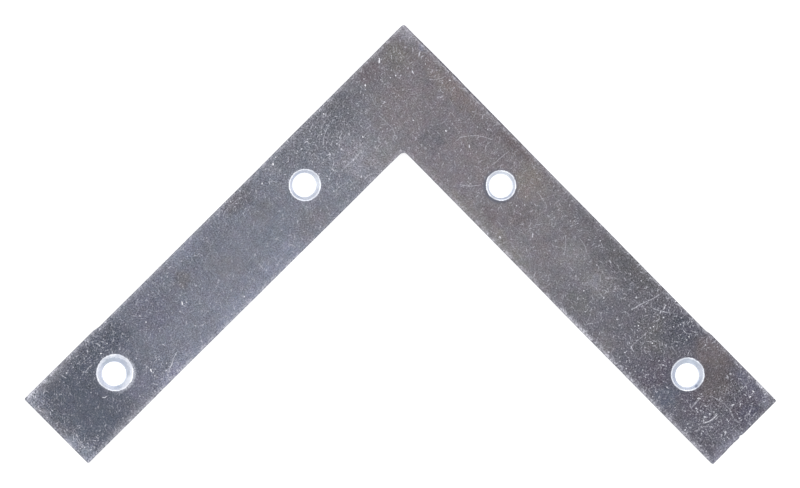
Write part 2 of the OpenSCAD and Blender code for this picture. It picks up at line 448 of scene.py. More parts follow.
# Bright dents on the front: place, width, brightness
DENTS = {"x": (
    (2.4, 8.2, 0.34, 1.3), (2.7, 9.2, 0.31, 0.9), (2.9, 3.3, 0.6, 0.5), (7.9, 5.8, 0.45, 1.4),
    (8.9, 5.4, 0.36, 1.2), (10, 5.7, 0.34, 0.8), (10.1, 8.8, 0.31, 1), (11.5, 14.1, 0.36, 1.2),
    (13.3, 3.1, 0.43, 1.6), (13.8, 3.6, 0.34, 1), (20.4, 9.6, 0.4, 1.9), (22.6, 1.4, 0.43, 1.6),
    (24.3, 9.8, 0.43, 0.6), (28.3, 15.3, 0.43, 0.8), (29.2, 7.7, 0.28, 0.9), (30.4, 10.1, 0.34, 1),
    (31, 2.9, 0.33, 1.1), (36, 1.4, 0.57, 1.6), (40, 2.5, 0.45, 1.6), (48.7, 15.3, 0.52, 0.7),
    (57.3, 15.2, 0.36, 1.5), (64.1, 5.7, 0.28, 1.1), (65.7, 8.3, 0.43, 1), (67.6, 12.6, 0.47, 1),
    (67.7, 4.6, 0.29, 0.9), (72.8, 8.2, 0.33, 0.8), (73.7, 4, 0.36, 1.2), (73.7, 5.6, 0.34, 1.6),
    (75.4, 15.3, 0.31, 1), (76.8, 12.3, 0.34, 0.9), (78.6, 13.1, 0.4, 0.7), (79.8, 9.2, 0.45, 0.8),
    (80.1, 14.2, 0.29, 0.8), (86.1, 13.8, 0.3, 0.9), (97, 15.4, 0.55, 0.6), (83.8, 3.85, 0.4, 1.7),
    (88.6, 4, 0.34, 1.2), (86.1, 2.3, 0.29, 0.9), (90.3, 7.7, 0.31, 1), (90.9, 1.9, 0.36, 1.3),
    (91.4, 5.9, 0.29, 0.8),
), "y": (
    (13.6, 1.3, 0.36, 1.3), (19.8, 8.5, 0.4, 1.5), (23.5, 3.7, 0.28, 0.9), (25.2, 2.7, 0.34, 0.9),
    (29.1, 11.7, 0.29, 1), (30.1, 12.2, 0.36, 0.8), (34.5, 12.9, 0.28, 0.9), (39.2, 6.5, 0.28, 1.1),
    (39.2, 8.9, 0.29, 1.2), (41.2, 15.3, 0.57, 1.1), (48.4, 2.6, 0.33, 0.9), (48.9, 3.2, 0.31, 1.1),
    (48.4, 3.7, 0.31, 0.9), (49.7, 3, 0.31, 0.9), (49.7, 6.3, 0.43, 0.7), (55, 2.3, 0.4, 1),
    (59.5, 11.1, 0.36, 1.6), (61.9, 12.5, 0.31, 1), (62.5, 13.7, 0.31, 1.1), (63.1, 9.4, 0.34, 1.2),
    (64.7, 13.4, 0.31, 1), (67.4, 2.2, 0.6, 0.8), (69.6, 4.4, 0.33, 1), (71.4, 8.4, 0.38, 1.7),
    (71.9, 8.7, 0.41, 0.9), (73.6, 6.5, 0.33, 1.4), (75.7, 8.8, 0.4, 1.4), (79.7, 3.1, 0.36, 1.6),
    (79.8, 3.8, 0.36, 1.5), (82.3, 12.4, 0.36, 0.6), (87.3, 14.3, 0.34, 0.8), (95.2, 4.9, 0.31, 1),
    (95.6, 1.7, 0.57, 1.5), (95.9, 2.8, 0.45, 1.5), (95.9, 8.9, 0.43, 0.9), (97.4, 10.9, 0.77, 0.9),
    (98.3, 11.2, 0.4, 0.9), (98.4, 1.6, 0.52, 0.8),
)}

# Depth of a mark of brightness 1, points round a dent, and brightness where two marks cross
MARK_DEPTH = 0.012
DENT_SIDES = 8
CROSSING = 0.5


def rows_of(table):
    """The rows of a table that is kept by leg, each with its leg in front."""
    return [(leg, *row) for leg, rows in table.items() for row in rows]


def on_leg(leg, along, across):
    """A place on a leg in the row frame."""
    return Vector((OUTER + along, OUTER + across) if leg == "x" else (OUTER + across, OUTER + along))


def smooth_route(places):
    """Points along a smooth curve through these places."""
    spacing = 0.5
    route = []
    padded = [places[0], *places, places[-1]]
    for before, start, end, after in zip(padded, padded[1:], padded[2:], padded[3:]):
        pieces = max(2, round((end - start).length / spacing))
        for step in range(pieces):
            s = step / pieces
            bend = (end - before) * s + (2 * before - 5 * start + 4 * end - after) * s ** 2
            bend += (3 * start - before - 3 * end + after) * s ** 3
            route.append(start + 0.5 * bend)
    return route + [places[-1]]


def mouth_distance(place):
    """Distance from a place on the front to the nearest countersink's mouth."""
    return min((place - hole.sink_centre).length - front_mouth(hole) for hole in HOLES)


def clear_of_bands(place, width):
    """True where a mark of this width can lie on the flat of the front face."""
    gap = 0.06
    room = gap + width / 2
    return edge_distance(*place) > BAND + room and mouth_distance(place) > COLLAR + room


def add_mark_point(plate, place, brightness):
    """A point of a scratch or a dent, the deeper the brighter it is."""
    point = (place.x, place.y, THICK - MARK_DEPTH * brightness)
    return plate.add(point, edge_distance(*place), mouth_distance(place), mark=brightness)


def add_scratch(plate, width, brightness, route):
    """A shallow groove along this route. Returns its lines of points."""
    tips = (0, len(route) - 1)
    middle, left, right = [], [], []
    for index, place in enumerate(route):
        middle.append(add_mark_point(plate, place, 0.0 if index in tips else brightness))
        if index not in tips:
            side = left_of((route[index + 1] - route[index - 1]).normalized()) * width / 2
            left.append(add_mark_point(plate, place + side, 0.0))
            right.append(add_mark_point(plate, place - side, 0.0))
    return [middle, [middle[0], *left, middle[-1]], [middle[0], *right, middle[-1]]]


def add_dent(plate, centre, width, brightness):
    """A small, irregular dent with a flat floor. Returns the rings of points round its mouth and floor."""
    mouth, floor = [], []
    x, y = centre
    longer = 0.7 * noise.noise(Vector((x * 1.7, y * 1.7, 0.5)))
    lean = 7 * noise.noise(Vector((x * 1.7, y * 1.7, 9.5)))
    for step in range(DENT_SIDES):
        angle = 2 * math.pi * step / DENT_SIDES
        uneven = 0.85 + 0.7 * noise.noise(Vector((x + 2 * math.cos(angle), y, 2 * math.sin(angle))))
        reach = width / 2 * uneven * (1 + longer * math.cos(2 * (angle - lean)))
        out = Vector((math.cos(angle), math.sin(angle))) * reach
        mouth.append(add_mark_point(plate, centre + out, 0.0))
        floor.append(add_mark_point(plate, centre + out * 0.5, brightness))
    return [[*mouth, mouth[0]], [*floor, floor[0]]]


def add_marks(plate):
    """The front's scratches and dents. Returns lines of points that the face's triangles have to follow."""
    lines = []
    for leg, width, brightness, *places in rows_of(SCRATCHES):
        route = smooth_route([on_leg(leg, *place) for place in places])
        route = [place for place in route if clear_of_bands(place, width)]
        if len(route) > 2:
            lines += add_scratch(plate, width, brightness, route)
    for *where, width, brightness in rows_of(DENTS):
        centre = on_leg(*where)
        if clear_of_bands(centre, width):
            lines += add_dent(plate, centre, width, brightness)
    return lines


# Points that fill a face: their spacing, and as shares of it the spacing of their rows and how near they come
# to the edge's band and to the holes' collars
GRID = 0.9
ROW_SHARE = 0.866
NEAR_BAND = 0.6
NEAR_COLLAR = 0.5


def circle_of(plate, ring):
    """Centre and radius of a ring of points round a hole."""
    places = [Vector(plate.points[i][:2]) for i in ring]
    middle = sum(places, Vector((0, 0))) / len(places)
    return middle, max((place - middle).length for place in places)


def add_spread_points(plate, circles, height):
    """Evenly spread points on a face, clear of its band and of these circles round the holes."""
    ids = []
    for row in range(int((END - OUTER) / (GRID * ROW_SHARE)) + 1):
        y = OUTER + row * GRID * ROW_SHARE
        for column in range(int((END - OUTER) / GRID) + 1):
            x = OUTER + (column + 0.5 * (row % 2)) * GRID
            if (x > INNER and y > INNER) or edge_distance(x, y) < BAND + GRID * NEAR_BAND:
                continue
            outside = min(math.hypot(x - c.x, y - c.y) - reach for c, reach in circles)
            if outside >= GRID * NEAR_COLLAR:
                ids.append(plate.add((*shaped(x, y), height), edge_distance(x, y), outside + COLLAR))
    return ids


def fill_face(plate, outer_ring, hole_rings, height, faces_up, lines=()):
    """Fills the front or the back face with evenly spread triangles, which follow these lines of points."""
    ids, edges = [], []
    for ring in (outer_ring, *hole_rings):
        start = len(ids)
        ids += ring
        edges += [(start + i, start + (i + 1) % len(ring)) for i in range(len(ring))]
    for line in lines:
        start = len(ids)
        ids += line
        edges += [(start + i, start + i + 1) for i in range(len(line) - 1)]
    circles = [circle_of(plate, ring) for ring in hole_rings]
    ids += add_spread_points(plate, circles, height)
    flat = [Vector(plate.points[i][:2]) for i in ids]
    made_points, _, made_faces, sources, _, _ = geometry.delaunay_2d_cdt(flat, edges, [], 1, 1e-6)
    found = []
    for point, same in zip(made_points, sources):
        found.append(ids[same[0]] if same else add_mark_point(plate, point, CROSSING))
    for corners in made_faces:
        middle = sum((made_points[c] for c in corners), Vector((0, 0))) / len(corners)
        if all((middle - c).length >= reach for c, reach in circles):
            face = [found[c] for c in corners]
            plate.face(face if faces_up else face[::-1], FACE)


def drop_unused_points(mesh):
    shape = bmesh.new()
    shape.from_mesh(mesh)
    unused = [point for point in shape.verts if not point.link_faces]
    bmesh.ops.delete(shape, geom=unused, context="VERTS")
    shape.to_mesh(mesh)
    shape.free()


def build_plate():
    plate = Plate()
    front_ring, back_ring = add_edge(plate)
    front_holes, back_holes = zip(*(add_hole(plate, hole) for hole in HOLES))
    fill_face(plate, front_ring, front_holes, THICK, True, add_marks(plate))
    fill_face(plate, back_ring, back_holes, 0, False)
    mesh = bpy.data.meshes.new("brace")
    mesh.from_pydata([Vector(p) * MM for p in plate.points], [], plate.faces)
    mesh.validate()
    mesh.polygons.foreach_set("material_index", plate.slots)
    for name, values in plate.known.items():
        mesh.attributes.new(name, "FLOAT", "POINT").data.foreach_set("value", values)
    drop_unused_points(mesh)
    return mesh


# -------- materials

class Nodes:
    """Short calls that build the node tree of a material or a world. Patterns are sized in millimetres."""

    def __init__(self, owner):
        owner.use_nodes = True
        self.owner = owner
        self.tree = owner.node_tree
        self.tree.nodes.clear()

    def make(self, kind, inputs=(), **settings):
        """A node with these settings, and these inputs fed in order or by name. Returns its outputs."""
        made = self.tree.nodes.new("ShaderNode" + kind)
        for name, value in settings.items():
            setattr(made, name, value)
        for key, value in inputs.items() if isinstance(inputs, dict) else enumerate(inputs):
            if isinstance(value, bpy.types.NodeSocket):
                self.tree.links.new(value, made.inputs[key])
            else:
                made.inputs[key].default_value = value
        return made.outputs

    def math(self, operation, *values):
        return self.make("Math", values, operation=operation)[0]

    def add(self, first, *others):
        for value in others:
            first = self.math("ADD", first, value)
        return first

    def times(self, first, *others):
        for value in others:
            first = self.math("MULTIPLY", first, value)
        return first

    def around(self, value, middle, size):
        """(value - middle) * size"""
        return self.math("MULTIPLY_ADD", value, size, -middle * size)

    def vector(self, operation, *values):
        return self.make("VectorMath", values, operation=operation)["Vector"]

    def scaled(self, vector, by):
        return self.make("VectorMath", {"Vector": vector, "Scale": by}, operation="SCALE")["Vector"]

    def length(self, vector):
        return self.make("VectorMath", (vector,), operation="LENGTH")["Value"]

    def parts(self, vector):
        return tuple(self.make("SeparateXYZ", (vector,)))

    def join(self, *values):
        return self.make("CombineXYZ", values)[0]

    def rise(self, value, start, end, low=0, high=1):
        """Smoothly from low, where value is start, to high, where it is end."""
        inputs = {"Value": value, "From Min": start, "From Max": end, "To Min": low, "To Max": high}
        return self.make("MapRange", inputs, interpolation_type="SMOOTHSTEP")["Result"]

    def noise(self, place, size, detail=2, roughness=0.5, flat=True, output="Fac"):
        """Noise whose features are about size across, from 0 to 1 about 0.5."""
        inputs = {"Vector": place, "Scale": 1 / size, "Detail": detail, "Roughness": roughness}
        return self.make("TexNoise", inputs, noise_dimensions="2D" if flat else "3D")[output]

    def cells(self, place, size):
        """Flat Voronoi cells of about this size: distance to the cell's point, random colour, and place."""
        outputs = self.make("TexVoronoi", {"Vector": place, "Scale": 1 / size}, voronoi_dimensions="2D")
        return outputs["Distance"], outputs["Color"], outputs["Position"]

    def mix(self, share, first, second):
        """A mix of two colours, whose sockets are inputs 6 and 7 and output 2."""
        return self.make("Mix", {0: share, 6: first, 7: second}, data_type="RGBA")[2]

    def attribute(self, name):
        return self.make("Attribute", attribute_name=name)["Fac"]

    def bump(self, height, strength, depth):
        return self.make("Bump", {"Strength": strength, "Distance": depth * MM, "Height": height})[0]

    def finish(self, shader, kind="OutputMaterial"):
        """Ends the tree in this shader. Returns the material or the world."""
        self.make(kind, {"Surface": shader})
        return self.owner

    def metal(self, colour, roughness, **more):
        """Ends the tree in bare metal, with these inputs of its shader."""
        inputs = {"Base Color": colour, "Metallic": 1, "Roughness": roughness, **more}
        return self.finish(self.make("BsdfPrincipled", inputs)[0])


def new_material(name):
    return Nodes(bpy.data.materials.new(name))


def linear(red, green, blue):
    """A colour given as it shows on screen, 0 to 255, as the renderer's own numbers."""
    def one(value):
        value /= 255
        return value / 12.92 if value <= 0.04045 else ((value + 0.055) / 1.055) ** 2.4
    return (one(red), one(green), one(blue), 1)


def object_mm(n):
    """The point on the plate, in millimetres in the row frame."""
    return n.scaled(n.make("TexCoord")["Object"], 1 / MM)


def face_place(n):
    """Flat places for the patterns, with the back's far from the front's so that they differ, and x and y."""
    x, y, z = n.parts(object_mm(n))
    on_back = n.math("LESS_THAN", z, THICK / 2)
    return n.join(n.add(x, n.times(on_back, 300)), y), x, y


def shifted(n, place, seed):
    return n.vector("ADD", place, (seed, seed * 1.7, 0))


def strokes(n, place, cell, length, width, share, seed, bend, lean):
    """Short scuffs, at most one to a cell. Up to 1 on a scuff, 0 off it. They run in all directions where
    lean is 0, and more of them along the plate's diagonal the larger it is."""
    place = shifted(n, place, seed)
    _, colour, centre = n.cells(place, cell)
    random_a, random_b, random_c = n.parts(colour)
    dx, dy, _ = n.parts(n.vector("SUBTRACT", place, centre))
    angle = n.times(random_a, 2 * math.pi)
    off_diagonal = n.math("MULTIPLY_ADD", angle, 2, -math.pi / 2)
    angle = n.math("SUBTRACT", angle, n.times(n.math("SINE", off_diagonal), lean))
    cosine, sine = n.math("COSINE", angle), n.math("SINE", angle)
    along = n.add(n.times(dx, cosine), n.times(dy, sine))
    across = n.math("SUBTRACT", n.times(dy, cosine), n.times(dx, sine))
    across = n.math("SUBTRACT", across, n.times(along, along, n.around(random_b, 0.5, bend)))
    line = n.rise(n.math("ABSOLUTE", across), width * 0.5, 0)
    reach = n.times(n.add(random_b, 0.4), length * 0.5)
    ends = n.rise(n.math("ABSOLUTE", along), reach, n.times(reach, 0.4))
    present = n.rise(random_c, 1 - share, 1, 0, 1.3)
    return n.times(line, ends, present)


def specks(n, place, cell, size, share, seed):
    """Round specks, at most one to a cell. Up to 1 in a speck, 0 off it."""
    distance, colour, _ = n.cells(shifted(n, place, seed), cell)
    random_a, _, random_c = n.parts(colour)
    radius = n.times(n.add(random_a, 0.3), size / cell)
    spot = n.rise(n.math("DIVIDE", distance, radius), 0.6, 0.2)
    return n.times(spot, n.rise(random_c, 1 - share, 1, 0, 1.2))


# Colours of the zinc as they show, from 0 to 255: first along the two legs, from the outer corner
LEG_X = (
    (0, (131, 126, 131)), (17, (132, 131, 139)), (31, (132, 135, 147)), (42, (135, 138, 151)),
    (74, (131, 134, 148)), (87, (104, 108, 121)),
)
LEG_Y = (
    (0, (130, 125, 130)), (24, (135, 130, 137)), (46, (134, 131, 137)), (60, (119, 118, 126)),
    (80, (104, 103, 114)),
)

# Its stains and worn spots, and last the colours of painted highlights and painted shade round the
# countersinks' mouths
PALE = (149, 148, 158)
SKY = (144, 148, 165)
BEIGE = (141, 139, 144)
ROSE = (135, 129, 134)
RUSTY = (123, 116, 122)
OLIVE = (127, 123, 123)
TAN = (142, 133, 134)
COPPER = (146, 139, 137)
SMOKE = (119, 118, 126)
MAUVE = (131, 130, 139)
MAUVE_BROWN = (127, 124, 130)
ASH = (134, 135, 145)
SLATE = (121, 122, 131)
TEAL = (127, 132, 145)
VIOLET = (122, 123, 140)
NAVY = (98, 103, 117)
MIDNIGHT = (92, 94, 106)
GREENISH = (109, 108, 112)
BROWN = (112, 105, 108)
UMBER = (127, 119, 122)
PURPLE = (97, 92, 105)
BLUE = (104, 109, 124)
LAVENDER = (136, 136, 151)
FROST = (142, 147, 162)
SAND = (136, 133, 134)
DUSK = (116, 116, 133)
PERIWINKLE = (142, 144, 166)
CHALK = (153, 152, 161)
STEEL = (127, 129, 139)
PUCE = (121, 113, 116)
TAUPE = (125, 119, 124)
FAWN = (126, 121, 127)
OYSTER = (136, 134, 138)
LEAD = (115, 115, 118)
INDIGO = (96, 96, 113)
# Painted highlights (MIST, HAZE, GLINT) and painted shade (SHADOW, INK, and MIDNIGHT above) round the
# countersinks' mouths
MIST = (160, 162, 176)
HAZE = (150, 153, 168)
GLINT = (204, 207, 218)
SHADOW = (100, 102, 118)
INK = (94, 99, 113)

# Soft stains and pale worn spots on the front: place, half length along the leg, half width across it, colour
STAINS = {"x": (
    (0.7, 1.2, 2.2, 2.8, CHALK), (0.9, 5.9, 1.2, 1, LAVENDER), (5.2, 3.5, 2.4, 3, OLIVE),
    (10.5, 2, 2.4, 1.8, RUSTY), (11, 10, 6, 5, ROSE), (21.6, 3.2, 7.5, 4.8, SLATE), (20, 3, 2.8, 2.2, SLATE),
    (20, 14.5, 4.5, 3, BEIGE), (24.4, 11.6, 3.4, 4.2, PALE), (44, 11, 5, 3.5, TEAL), (38, 14, 5, 2.8, MAUVE),
    (31, 2.5, 6, 3.4, STEEL), (43.5, 6.4, 3, 2.4, ASH), (55.5, 8.8, 3.4, 3.8, ASH), (45, 1.5, 4.2, 2, SMOKE),
    (47.5, 15.7, 5.6, 3, SKY), (59, 1, 4.5, 2, SKY), (62.9, 4.7, 1.8, 1.7, MAUVE_BROWN),
    (71.8, 5.6, 4.4, 4.2, VIOLET), (59, 16.4, 9, 2.8, SKY), (73, 16.4, 6, 2.6, SKY),
    (77.2, 15.9, 3.4, 1.5, PERIWINKLE), (83, 14, 3.6, 3.6, VIOLET), (80.6, 3.2, 4.3, 3.3, NAVY),
    (89, 4.7, 7, 4.2, NAVY), (92.6, 11.7, 4.4, 4.7, NAVY), (93.5, 0.4, 7, 1.8, ASH), (88, 16.5, 7, 1.5, ASH),
    (98.8, 1.2, 2.6, 2.4, FROST), (99.3, 4.4, 0.9, 1.9, PALE), (98.9, 8.6, 1.3, 2.2, SLATE),
    (99.6, 11.6, 1.1, 1.7, FROST), (99, 15.4, 1.9, 1.9, FROST),
), "y": (
    (3.3, 5.5, 2.2, 2.8, OLIVE), (15, 2, 8, 2, TAN), (2, 10.5, 2.2, 2.4, RUSTY), (19, 11, 2.4, 4.2, SMOKE),
    (28, 6.8, 7, 4.4, ROSE), (31.4, 1.2, 6, 1.8, PUCE), (37.7, 4, 4.2, 3.8, COPPER),
    (40.4, 9.9, 3.6, 3.8, TAUPE), (37, 14, 2.6, 2, RUSTY), (39, 15.9, 15, 1.6, SAND), (49, 1, 3, 2.4, SMOKE),
    (48.5, 11.5, 3.4, 2.4, FAWN), (53.5, 7.6, 2.8, 3.2, BEIGE), (63, 1.8, 8.6, 2.5, GREENISH),
    (60, 7.8, 4.4, 3, OYSTER), (59.4, 8.8, 1.3, 1.5, PALE), (60, 13.2, 3, 2.2, LEAD),
    (75, 7, 4.8, 4.6, GREENISH), (77.4, 3.8, 3.8, 3.4, MIDNIGHT), (69.5, 15, 3, 2, MAUVE_BROWN),
    (85.5, 2.2, 4.6, 3.2, UMBER), (80.5, 12.6, 3.4, 4.4, PURPLE), (84.6, 14, 3, 2.4, BLUE),
    (89.4, 10.6, 3.4, 3.6, PURPLE), (89.4, 5.8, 4.6, 4.8, BROWN), (96.4, 4.8, 3.2, 4.2, PURPLE),
    (98.3, 5, 1.6, 2.6, INDIGO), (94.5, 1.4, 4.5, 1.8, DUSK), (98.6, 1.5, 1.3, 1.3, LAVENDER),
    (99.8, 12, 1.6, 7, LAVENDER),
)}

# How much of a stain's or a painted shade's own colour shows in its middle
STAIN_AND_SHADE_STRENGTH = 0.8


def patch(n, place, leg, along, across, half_length, half_width):
    """1 in the middle of a soft patch on a leg, 0 outside it."""
    x, y = on_leg(leg, along, across)
    wide, high = (half_length, half_width) if leg == "x" else (half_width, half_length)
    scaled = n.vector("MULTIPLY_ADD", place, (1 / wide, 1 / high, 0), (-x / wide, -y / high, 0))
    return n.rise(n.length(scaled), 1.25, 0.35)


def stained_and_shaded(n, place, colour, stains):
    """This colour with these soft patches of other colours on it."""
    for *where, shown in rows_of(stains):
        share = n.times(patch(n, place, *where), STAIN_AND_SHADE_STRENGTH)
        colour = n.mix(share, colour, linear(*shown))
    return colour


def along_leg(n, distance, stops):
    """Colour that changes smoothly along a leg, between these places and their colours."""
    colour = linear(*stops[0][1])
    for (start, _), (end, shown) in zip(stops, stops[1:]):
        middle, reach = (start + end) / 2, (end - start) / 2 + 3
        share = n.rise(distance, OUTER + middle - reach, OUTER + middle + reach)
        colour = n.mix(share, colour, linear(*shown))
    return colour


def warped(n, place, size, detail, roughness, by):
    """Places moved about by up to half of this much, so that what is drawn there has uneven outlines."""
    drift = n.vector("SUBTRACT", n.noise(place, size, detail, roughness, output="Color"), (0.5, 0.5, 0.5))
    return n.vector("MULTIPLY_ADD", drift, (by, by, 0), place)


def zinc_tone(n, flat, x, y):
    """Slow changes of the zinc's colour over the faces."""
    uneven = warped(n, flat, 2.6, 3, 0.6, 3.2)
    on_x_leg = n.rise(n.math("SUBTRACT", x, y), -6, 10)
    colour = n.mix(on_x_leg, along_leg(n, y, LEG_Y), along_leg(n, x, LEG_X))
    colour = stained_and_shaded(n, uneven, colour, STAINS)
    hues = n.noise(shifted(n, flat, 120), 2.2, 3, 0.6, output="Color")
    tint = n.vector("MULTIPLY_ADD", hues, (0.16, 0.08, 0.16), (0.92, 0.96, 0.92))
    return n.vector("MULTIPLY", colour, tint)


# Where the front is scuffed more or less than elsewhere: place, half length, half width, and how much more
WEAR = {"x": (
    (26, 6, 8, 14, 0.5), (36, 1, 6, 4, 0.45), (47, 1, 6, 3.5, 0.35), (50, 8.5, 13, 5.5, -0.4),
    (78, 16.5, 5, 5, 0.6), (84, 2, 7, 4.5, 0.7), (75.5, 15.5, 3.6, 2.6, 0.3), (92.5, 9.5, 5, 5, -0.35),
    (98.5, 1.5, 3.5, 4, 0.7), (98.5, 8, 2.5, 9, 0.4), (98.5, 15, 4, 3.6, 0.8),
), "y": (
    (60, 8.5, 5, 5, 0.2), (72, 2, 9, 6, 0.4), (78, 13, 8, 8, 0.35), (95, 8, 7, 13, 0.6),
    (87.5, 4.5, 5, 5, -0.55), (98, 4.8, 2, 2.6, -0.4),
)}


def patched(n, place, amount, patches):
    """This amount, and what each of these soft patches adds to it."""
    for *where, more in rows_of(patches):
        amount = n.add(amount, n.times(patch(n, place, *where), more))
    return amount


def wear(n, flat, y):
    """How scuffed the face is, about 1."""
    near_corner = n.rise(y, OUTER + 10, OUTER + 20, 1, 0.85)
    near_end = n.rise(y, OUTER + 48, OUTER + 72, 0, 0.33)
    return patched(n, flat, n.add(near_corner, near_end), WEAR)


# Fine scuffs: size of the cells, length, width, share of the cells that have one, seed, bend, and strength
SCUFFS = (
    (0.75, 0.7, 0.22, 0.75, 17.3, 1.5, 0.65),
    (1.5, 1.3, 0.2, 0.7, 41.7, 1, 0.68),
    (2.7, 2.5, 0.18, 0.65, 23.9, 0.5, 0.6),
    (5.5, 5, 0.17, 0.5, 63.9, 0.15, 0.5),
)

# Bright specks: size of the cells, size, share of the cells that have one, seed, and strength
SPECKS = (
    (1.1, 0.24, 0.45, 5.5, 0.8),
    (3.2, 0.28, 0.4, 31.5, 0.95),
)


def grain_pattern(n, flat, lean):
    """Fine bright grit and thin scuffs, and the few larger bright specks between them."""
    bent = warped(n, flat, 0.7, 2, 0.5, 0.4)
    grit = n.rise(n.noise(shifted(n, flat, 23), 0.3, 2, 0.7), 0.5, 0.8)
    scuffs = n.add(*(n.times(strokes(n, bent, *sizes, lean), strength) for *sizes, strength in SCUFFS))
    broken = n.rise(n.noise(shifted(n, flat, 61), 0.6, 2, 0.6), 0.36, 0.62, 0.2, 1)
    spots = n.add(*(n.times(specks(n, bent, *sizes), strength) for *sizes, strength in SPECKS))
    return n.add(n.times(grit, 0.42), n.times(scuffs, broken)), spots


# Painted shade and painted highlights round the countersinks' mouths: place, half length, half width, reach
# from the mouth, strength, colour
MOUTH_SHADE_AND_GLINTS = {"x": (
    (33.6, 8.4, 4, 6, 0.8, 0.2, MIST), (84.7, 8.4, 6, 6, 0.9, 0.25, HAZE),
    (83.2, 10.8, 3.6, 3.6, 0.7, 0.9, GLINT),
), "y": (
    (34.8, 8, 6, 6, 0.6, 0.35, SHADOW), (34.2, 9.8, 4.2, 4, 1, 1, INK),
    (84.9, 11.8, 3.8, 3, 1.1, 0.8, MIDNIGHT),
)}


def with_mouth_shade_and_glints(n, flat, colour, uneven):
    """Paints shade and highlights on the face round the countersinks' mouths."""
    rim = n.attribute("rim_mm")
    for *where, reach, strength, shown in rows_of(MOUTH_SHADE_AND_GLINTS):
        here = patch(n, flat, *where)
        near = n.rise(rim, reach, 0, 0, strength)
        colour = n.mix(n.times(here, near, uneven), colour, linear(*shown))
    return colour


# Where the painted sheen along the rolled edge is stronger or weaker than elsewhere, in the form of WEAR
EDGE_SHINE = {"x": (
    (16, 0, 14, 2, -0.05), (54, 0, 24, 2, -0.06), (81, 0, 2.5, 2, 0.12), (94.5, 0, 6, 2.4, 0.34),
    (99.5, 8, 1.5, 12, -0.03), (90, 16.7, 10, 2.4, 0.08), (35, 16.7, 14, 2, -0.12), (65, 16.7, 14, 2, 0.05),
), "y": (
    (16, 0, 16, 2, 0.15), (55, 0, 24, 2, -0.09), (96.5, 0, 4, 2.4, 0.08), (24, 16.7, 9, 2, -0.06),
    (42, 16.7, 12, 2, 0.08), (68, 16.7, 14, 2.4, 0.25), (90, 16.7, 12, 2.4, 0.08), (99.5, 8, 1.5, 12, -0.18),
)}

# Where the very edge gets painted shade, and how much, in the same form
EDGE_DARK = {"y": (
    (15, 0, 15, 2, 1.1), (21.6, 0, 3, 2, 0.4), (30, 0, 7, 2, 0.4), (50, 0, 8, 2, 0.2), (88, 0, 8, 2, 0.5),
    (24, 16.7, 8, 2, 0.3),
)}

# How bright the zinc is where nothing has touched it, its pale colour for wear and for the painted sheen
# along the rolled edge, its white in scratches and dents, and the colour of the painted shade at the very
# edge
GROUND = 0.765
WORN_AND_SHEEN_PALE = linear(222, 222, 232)
WORN_WHITE = linear(250, 250, 254)
EDGE_SHADOW = linear(88, 86, 96)


def face_material():
    """Dull grey zinc, mottled and covered in fine scuffs, as it shows on both faces, with painted sheen and
    painted shade along the rolled edge and painted shade and highlights round the countersinks' mouths.
    """
    n = new_material("scuffed_zinc_face")
    flat, x, y = face_place(n)
    clouds = n.noise(flat, 7, 3, 0.6)
    patches = n.noise(shifted(n, flat, 50), 1.9, 3, 0.65)
    fine = n.noise(shifted(n, flat, 80), 0.27, 1, 0.7)
    worn = wear(n, flat, y)
    tone = n.add(GROUND, n.around(clouds, 0.5, 0.14), n.around(patches, 0.5, 0.28))
    across = n.rise(n.math("MINIMUM", x, y), OUTER + 2, OUTER + 13, -0.055, 0.04)
    tone = n.add(tone, n.times(across, n.rise(n.math("MAXIMUM", x, y), OUTER + 3, OUTER + 16)))
    tone = n.add(tone, n.times(n.around(fine, 0.5, 0.62), n.add(worn, 0.8)))

    lean = n.rise(n.math("SUBTRACT", x, y), -8, 16, 0.08, 0.33)
    grains, spots = grain_pattern(n, flat, lean)
    dense = n.rise(patches, 0.3, 0.65, 0.6, 1.2)
    paler_share = n.times(n.add(n.times(grains, dense), n.times(spots, worn)), worn, 0.58)
    marks = n.attribute("scratch")
    paler_share = n.add(paler_share, n.times(marks, n.rise(fine, 0.3, 0.6, 0.5, 1), 0.75))

    edge = n.attribute("edge_mm")
    broken = n.rise(n.noise(flat, 1.1, 3, 0.65), 0.35, 0.65, 0.1, 1)
    uneven = n.times(broken, n.rise(fine, 0.3, 0.65, 0.5, 1.5))
    # Painted sheen over the curve of the rolled band, with the zinc partly worn there too
    rolled = n.add(n.rise(edge, 1.3, 0.4, 0, 0.45), n.rise(edge, 0.75, 0.3, 0, 0.55))
    paler_share = n.add(paler_share, n.times(rolled, uneven, patched(n, flat, 0.22, EDGE_SHINE)))
    # Painted shade on the very edge and where the edge turns steeply away
    dark = n.times(n.rise(edge, 0.42, 0.2), patched(n, flat, 0, EDGE_DARK))
    turned_away_shade = n.rise(edge, 0.16, 0.02, 1, 0.6)

    tinted = n.scaled(zinc_tone(n, flat, x, y), n.times(tone, turned_away_shade))
    colour = n.mix(n.math("MINIMUM", paler_share, 0.9), tinted, WORN_AND_SHEEN_PALE)
    colour = n.mix(n.times(dark, uneven), colour, EDGE_SHADOW)
    colour = n.mix(n.rise(marks, 0.8, 1.5, 0, 0.9), colour, WORN_WHITE)
    # Painted shade and highlights round the countersinks' mouths
    colour = with_mouth_shade_and_glints(n, flat, colour, n.rise(fine, 0.35, 0.6, 0.25, 1))
    roughness = n.add(0.4, n.around(fine, 0.5, 0.2), n.times(paler_share, -0.1))
    height = n.add(n.times(fine, 0.4), n.times(grains, -0.5), n.times(spots, 0.4), n.times(patches, 1))
    return n.metal(colour, roughness, Normal=n.bump(height, 0.35, 0.02))


